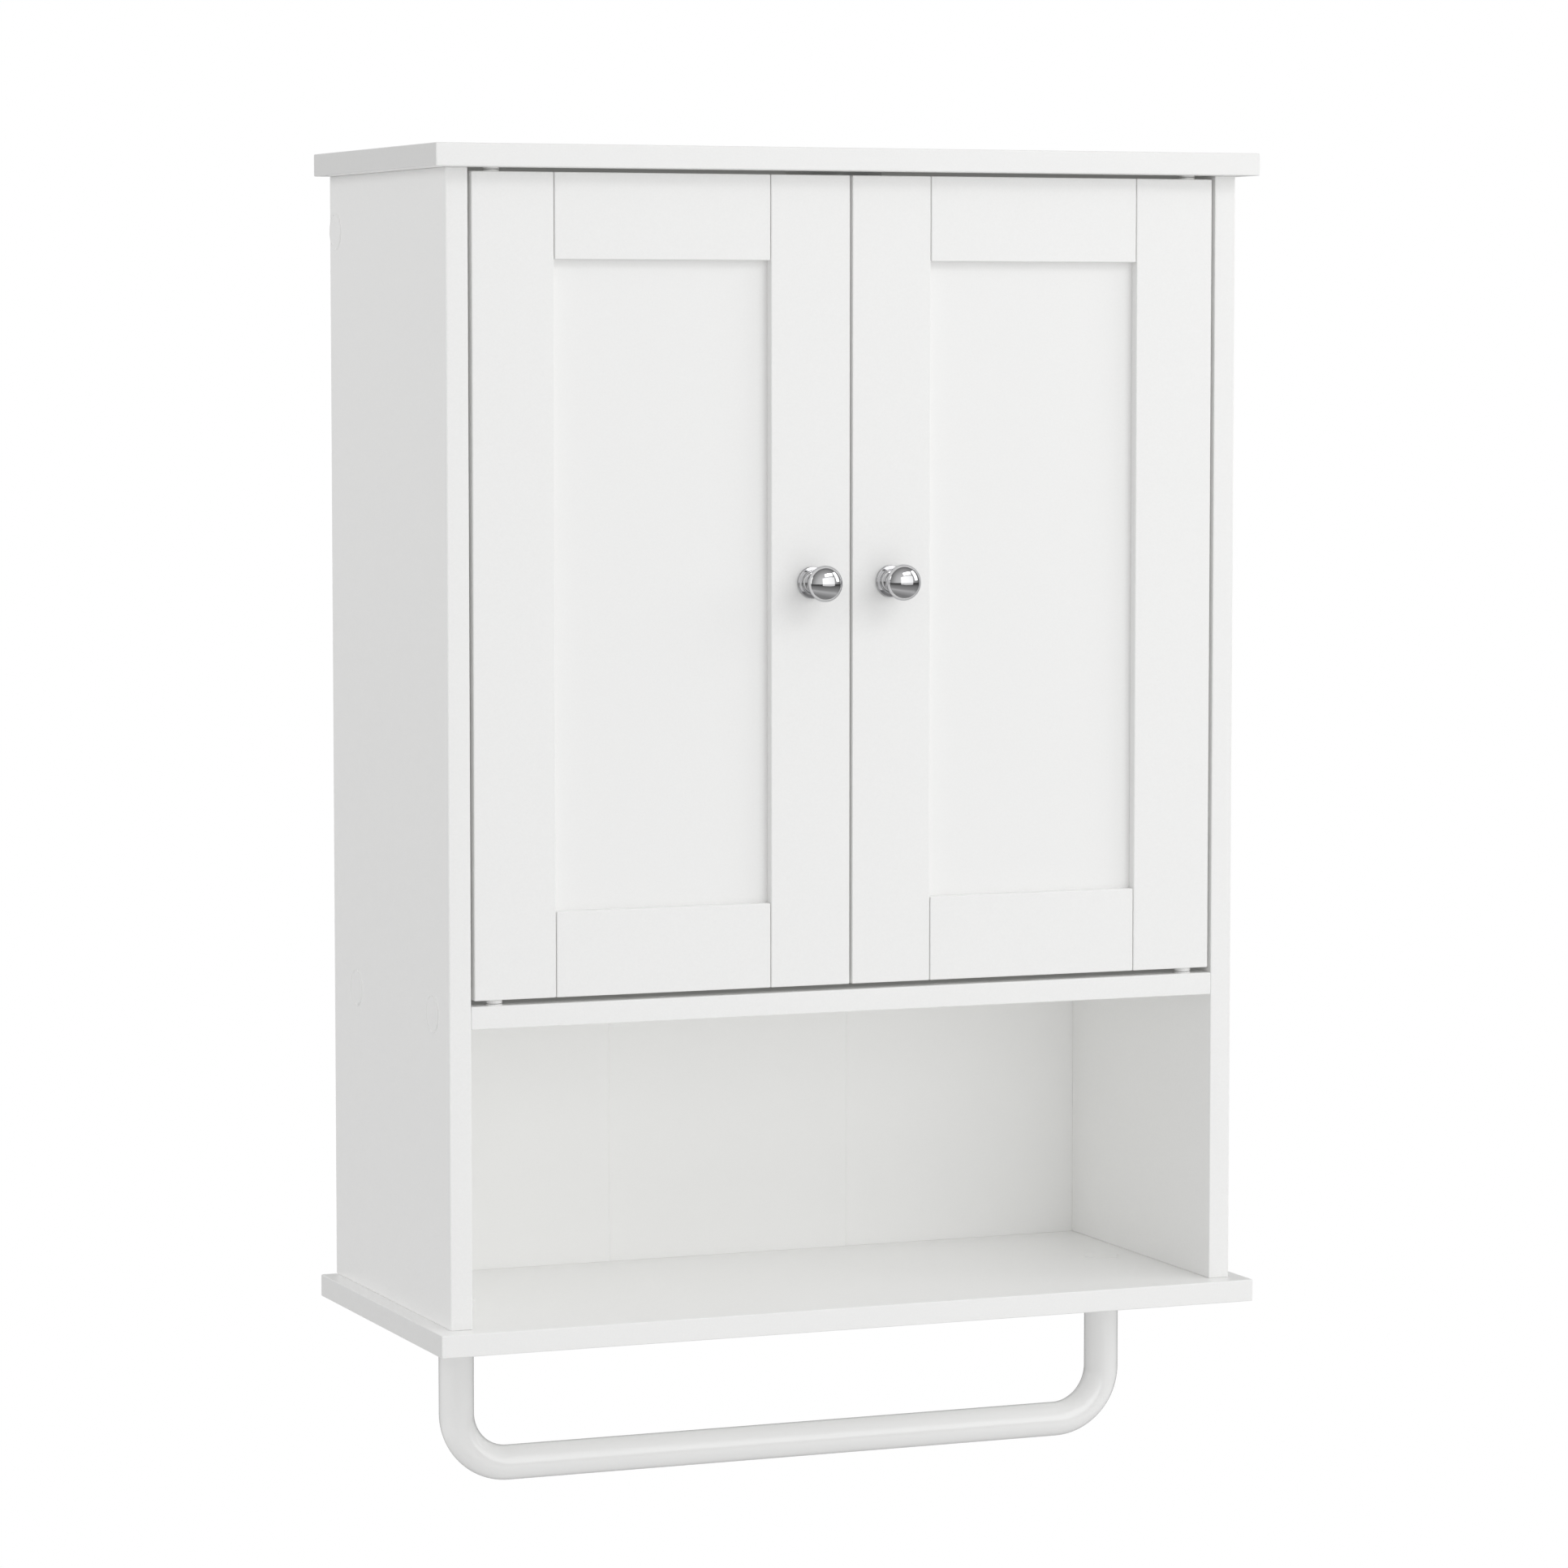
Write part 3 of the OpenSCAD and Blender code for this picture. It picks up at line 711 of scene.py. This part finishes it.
def make_dowels(node):
    """Beech dowels with glue flutes and chamfered ends."""
    flutes = 18
    groove = 0.3 * MM
    chamfer = 0.8 * MM
    bm = bmesh.new()
    for lo, hi in islands(node):
        size = hi - lo
        axis = max(range(3), key=lambda i: size[i])
        length = size[axis]
        radius = min(size) / 2
        direction = [X_AXIS, Y_AXIS, Z_AXIS][axis]
        place = place_along((lo + hi) / 2 - direction * length / 2, direction)
        rows = ((0, chamfer), (chamfer, 0), (length - chamfer, 0), (length, chamfer))
        outlines = []
        for height, narrower in rows:
            outline = []
            for point in range(flutes * 3):
                turn = math.tau * point / (flutes * 3)
                reach = radius - narrower - (groove if point % 3 == 0 and not narrower else 0)
                outline.append((reach * math.cos(turn), reach * math.sin(turn)))
            outlines.append((outline, height))
        add_prism(bm, outlines, place)
    fix_normals(bm)
    piece = replace_node(node, bm, [MATERIALS["dowel_wood"]])


# ---- Door pivots ----

def make_pivot_pins():
    """A round-ended pin each side of a thin flange."""
    pin_r, flange_r, flange_t, sunk = 2.5 * MM, 4.4 * MM, 0.7 * MM, 8 * MM
    soft = 0.25 * MM
    for node, up in (("top_pivot_pins", -1), ("bottom_pivot_pins", 1)):
        bm = bmesh.new()
        for lo, hi in islands(node):
            middle = (lo + hi) / 2
            start_z = hi.z if up < 0 else lo.z
            place = place_along(Vector((middle.x, middle.y, start_z)), Z_AXIS * up)
            length = hi.z - lo.z
            profile = [(0, 0), (pin_r - soft, 0), (pin_r, soft), (pin_r, sunk), (flange_r, sunk)]
            profile += arc((flange_r - soft, sunk + flange_t - soft), soft, 0, 90, 3)
            profile += [(pin_r, sunk + flange_t), (pin_r, length - 3 * soft)]
            profile += [(pin_r - 2 * soft, length), (0, length)]
            add_lathe(bm, profile, place, 40)
        fix_normals(bm)
        piece = replace_node(node, bm, [MATERIALS["white_nylon"]])


def make_pivot_bushes():
    """Flanged bushes: the flange stands out of the door at its open end."""
    bush_r, bore_r, flange_r, sunk = 4 * MM, 2.55 * MM, 4.4 * MM, 12 * MM
    soft = 0.25 * MM
    for side in SIDES:
        node = f"{side}_pivot_bushes"
        bm = bmesh.new()
        low_one, high_one = sorted(islands(node), key=lambda box: box[0].z)
        for (lo, hi), up in ((low_one, -1), (high_one, 1)):
            middle = (lo + hi) / 2
            start_z = hi.z if up < 0 else lo.z
            place = place_along(Vector((middle.x, middle.y, start_z)), Z_AXIS * up)
            length = hi.z - lo.z
            profile = [(bore_r, 0), (bush_r - soft, 0), (bush_r, soft), (bush_r, sunk)]
            profile += [(flange_r, sunk)]
            profile += arc((flange_r - soft, length - soft), soft, 0, 90, 3)
            profile += [(bore_r + soft, length), (bore_r, length - soft)]
            add_lathe(bm, profile, place, 40, closed=True)
        fix_normals(bm)
        piece = replace_node(node, bm, [MATERIALS["white_nylon"]])


# ---- Small fittings that follow their CAD shape, with eased edges ----

def eased_fitting(node, width_mm):
    """The CAD fitting with every corner eased."""
    bm = welded(node)
    corners = [
        edge for edge in bm.edges
        if len(edge.link_faces) == 2 and edge.calc_face_angle() > SMOOTH_UP_TO]
    bmesh.ops.bevel(
        bm, geom=corners, offset=width_mm * MM, offset_type="OFFSET", affect="EDGES",
        segments=2, profile=0.5, clamp_overlap=True)
    piece = replace_node(node, bm, [MATERIALS[slot_of(node)]])


def make_strike_plates():
    for side in SIDES:
        node = f"{side}_strike_plate"
        lo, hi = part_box(node)
        bm = welded(node)
        through = [
            edge for edge in bm.edges
            if on_box_edge(edge, lo, hi) and abs(edge.verts[0].co.y - edge.verts[1].co.y) > WELD]
        bmesh.ops.bevel(
            bm, geom=through, offset=1.5 * MM, offset_type="OFFSET", affect="EDGES",
            segments=5, profile=0.5, clamp_overlap=False)
        piece = replace_node(node, bm, [MATERIALS["zinc_steel"]])


def make_fittings():
    eased_fitting("cam_locks", 0.15)
    eased_fitting("shelf_pins", 0.3)
    eased_fitting("catch_housing", 0.3)
    eased_fitting("catch_magnets", 0.2)
    eased_fitting("catch_poles", 0.1)
    eased_fitting("bar_inserts", 0.2)
    make_strike_plates()


# ---- CAD nodes ----

def dress_cad_nodes():
    """Gives every CAD node its finish, including those that a made piece replaces."""
    for name, node in frame["nodes"].items():
        node.data.materials.clear()
        node.data.materials.append(MATERIALS[slot_of(name)])


# ---- Stage, light and camera ----

AIM = Vector((0.0008, -0.1001, -0.3016))
CAMERA_AZIMUTH = -22.1004
CAMERA_ELEVATION = 4.541
CAMERA_DISTANCE = 3.08
SENSOR_WIDTH = 36
LENS = 128.88
FLOOR_DROP = 1.75
FLOOR_RADIUS = 40

# Brightness by height, by how far to the front, and by distance over the floor.
SKY = ((0.45, 0.0), (0.5, 0.62), (1.0, 0.62))
ROOM = ((0.0, 0.32), (0.35, 0.22), (0.5, 0.16), (0.8, 0.4), (1.0, 0.7))
MIRRORED_FLOOR = ((0.03, 0.4), (0.1, 0.24), (0.15, 0.52), (0.19, 0.3), (0.32, 0.2), (0.6, 0.07))
FLOOR_REACH = 20

DIFFUSE_BOUNCES = 10
AMBIENT_SHARE = 0.026
AMBIENT_REACH = 0.03


def towards(azimuth, elevation):
    """The direction from the object to a viewer: azimuth 0 is in front, 90 is right."""
    a, e = math.radians(azimuth), math.radians(elevation)
    return Vector((math.sin(a) * math.cos(e), -math.cos(a) * math.cos(e), math.sin(e)))


def make_camera():
    data = bpy.data.cameras.new("camera")
    data.sensor_width = SENSOR_WIDTH
    data.lens = LENS
    camera = bpy.data.objects.new("camera", data)
    outward = towards(CAMERA_AZIMUTH, CAMERA_ELEVATION)
    camera.location = AIM + outward * CAMERA_DISTANCE
    camera.rotation_euler = outward.to_track_quat("Z", "Y").to_euler()
    bpy.context.scene.collection.objects.link(camera)
    bpy.context.scene.camera = camera


def soft_light(name, azimuth, elevation, distance, width, height, power):
    """A rectangle of light that faces the object."""
    data = bpy.data.lights.new(name, "AREA")
    data.shape = "RECTANGLE"
    data.size = width
    data.size_y = height
    data.energy = power
    light = bpy.data.objects.new(name, data)
    outward = towards(azimuth, elevation)
    light.location = AIM + outward * distance
    light.rotation_euler = outward.to_track_quat("Z", "Y").to_euler()
    bpy.context.scene.collection.objects.link(light)
    return light


def make_lights():
    """Wide lights round the front, and a weak one from below that gloss doesn't mirror."""
    soft_light("key", 25, 36, 3.2, 1.8, 0.75, 13)
    soft_light("front", 20, 9, 3.3, 3.2, 1.9, 13)
    soft_light("right", 66, 24, 3.2, 1.2, 2.0, 14)
    soft_light("left", -104, 18, 3.2, 1.8, 1.8, 22)
    low_fill = soft_light("low_fill", 12, -24, 3.2, 2.4, 1.6, 9)
    low_fill.visible_glossy = False


def ramp(tree, factor, stops):
    """A grey gradient through (position, brightness) stops."""
    node = tree.nodes.new("ShaderNodeValToRGB")
    tree.links.new(factor, node.inputs["Fac"])
    elements = node.color_ramp.elements
    while len(elements) < len(stops):
        elements.new(0.5)
    for element, (position, value) in zip(elements, stops):
        element.position = position
        element.color = (value, value, value, 1)
    return node.outputs["Color"]


def scaled(tree, value, factor, offset):
    """The value times the factor, plus the offset."""
    node = tree.nodes.new("ShaderNodeMath")
    node.operation = "MULTIPLY_ADD"
    tree.links.new(value, node.inputs[0])
    node.inputs[1].default_value = factor
    node.inputs[2].default_value = offset
    return node.outputs["Value"]


def glow(tree, colour=None):
    """A world's background: white, or the colour of a gradient."""
    node = tree.nodes.new("ShaderNodeBackground")
    node.inputs["Color"].default_value = (1, 1, 1, 1)
    if colour is not None:
        tree.links.new(colour, node.inputs["Color"])
    return node.outputs["Background"]


def choose(tree, ray, other, chosen):
    """The second shader for one kind of ray, the first for the rest."""
    path = tree.nodes.new("ShaderNodeLightPath")
    mix = tree.nodes.new("ShaderNodeMixShader")
    tree.links.new(path.outputs[ray], mix.inputs["Fac"])
    tree.links.new(other, mix.inputs[1])
    tree.links.new(chosen, mix.inputs[2])
    return mix.outputs["Shader"]


def make_world():
    """White to the camera, soft light from above, and a graded studio for gloss to mirror."""
    world = bpy.data.worlds.new("studio")
    bpy.context.scene.world = world
    world.use_nodes = True
    tree = world.node_tree
    tree.nodes.clear()
    output = tree.nodes.new("ShaderNodeOutputWorld")
    place = tree.nodes.new("ShaderNodeTexCoord")
    parts = tree.nodes.new("ShaderNodeSeparateXYZ")
    tree.links.new(place.outputs["Generated"], parts.inputs["Vector"])
    height = scaled(tree, parts.outputs["Z"], 0.5, 0.5)
    frontness = scaled(tree, parts.outputs["Y"], -0.5, 0.5)
    sky = glow(tree, ramp(tree, height, SKY))
    room = glow(tree, ramp(tree, frontness, ROOM))
    light = choose(tree, "Is Glossy Ray", sky, room)
    seen = choose(tree, "Is Camera Ray", light, glow(tree))
    tree.links.new(seen, output.inputs["Surface"])


def make_floor():
    """White to the camera; gloss mirrors it in greys that change with distance."""
    bm = bmesh.new()
    bmesh.ops.create_circle(
        bm, cap_ends=True, segments=96, radius=FLOOR_RADIUS,
        matrix=Matrix.Translation((0, 0, -FLOOR_DROP)))
    mesh = bpy.data.meshes.new("floor")
    bm.to_mesh(mesh)
    bm.free()
    floor = bpy.data.objects.new("floor", mesh)
    material, tree, shader = start_material("pale_floor")
    speckle(tree, shader, grey(0.8), 0.01, 40)
    shader.inputs["Roughness"].default_value = 0.8
    place = tree.nodes.new("ShaderNodeTexCoord")
    distance = tree.nodes.new("ShaderNodeVectorMath")
    distance.operation = "LENGTH"
    tree.links.new(place.outputs["Object"], distance.inputs[0])
    far = scaled(tree, distance.outputs["Value"], 1 / FLOOR_REACH, 0)
    mirrored = tree.nodes.new("ShaderNodeEmission")
    tree.links.new(ramp(tree, far, MIRRORED_FLOOR), mirrored.inputs["Color"])
    white = tree.nodes.new("ShaderNodeEmission")
    plain = choose(
        tree, "Is Glossy Ray", shader.outputs["BSDF"], mirrored.outputs["Emission"])
    seen = choose(tree, "Is Camera Ray", plain, white.outputs["Emission"])
    output = next(node for node in tree.nodes if node.type == "OUTPUT_MATERIAL")
    tree.links.new(seen, output.inputs["Surface"])
    mesh.materials.append(material)
    bpy.context.scene.collection.objects.link(floor)


def plain_colours():
    """Shows linear light as it is, so that white stays white."""
    bpy.context.scene.view_settings.view_transform = "Standard"


def many_bounces():
    """White walls pass light on many times before it fades."""
    bpy.context.scene.cycles.diffuse_bounces = DIFFUSE_BOUNCES


def lift_shadows():
    """Ambient light that only near surfaces hide, fitted so that narrow gaps stay grey."""
    bpy.context.scene.cycles.use_fast_gi = True
    bpy.context.scene.cycles.fast_gi_method = "ADD"
    bpy.context.scene.world.light_settings.ao_factor = AMBIENT_SHARE
    bpy.context.scene.world.light_settings.distance = AMBIENT_REACH


make_camera()
make_world()
make_lights()
make_floor()
plain_colours()
many_bounces()
lift_shadows()
dress_cad_nodes()
make_boards()
make_back_panel()
make_door_frames()
make_knobs()
make_towel_bar()
make_screw_covers()
make_all_screws()
make_cam_bolts()
for dowel_node in ("top_dowels", "left_frame_dowels", "right_frame_dowels"):
    make_dowels(dowel_node)
make_pivot_pins()
make_pivot_bushes()
make_fittings()
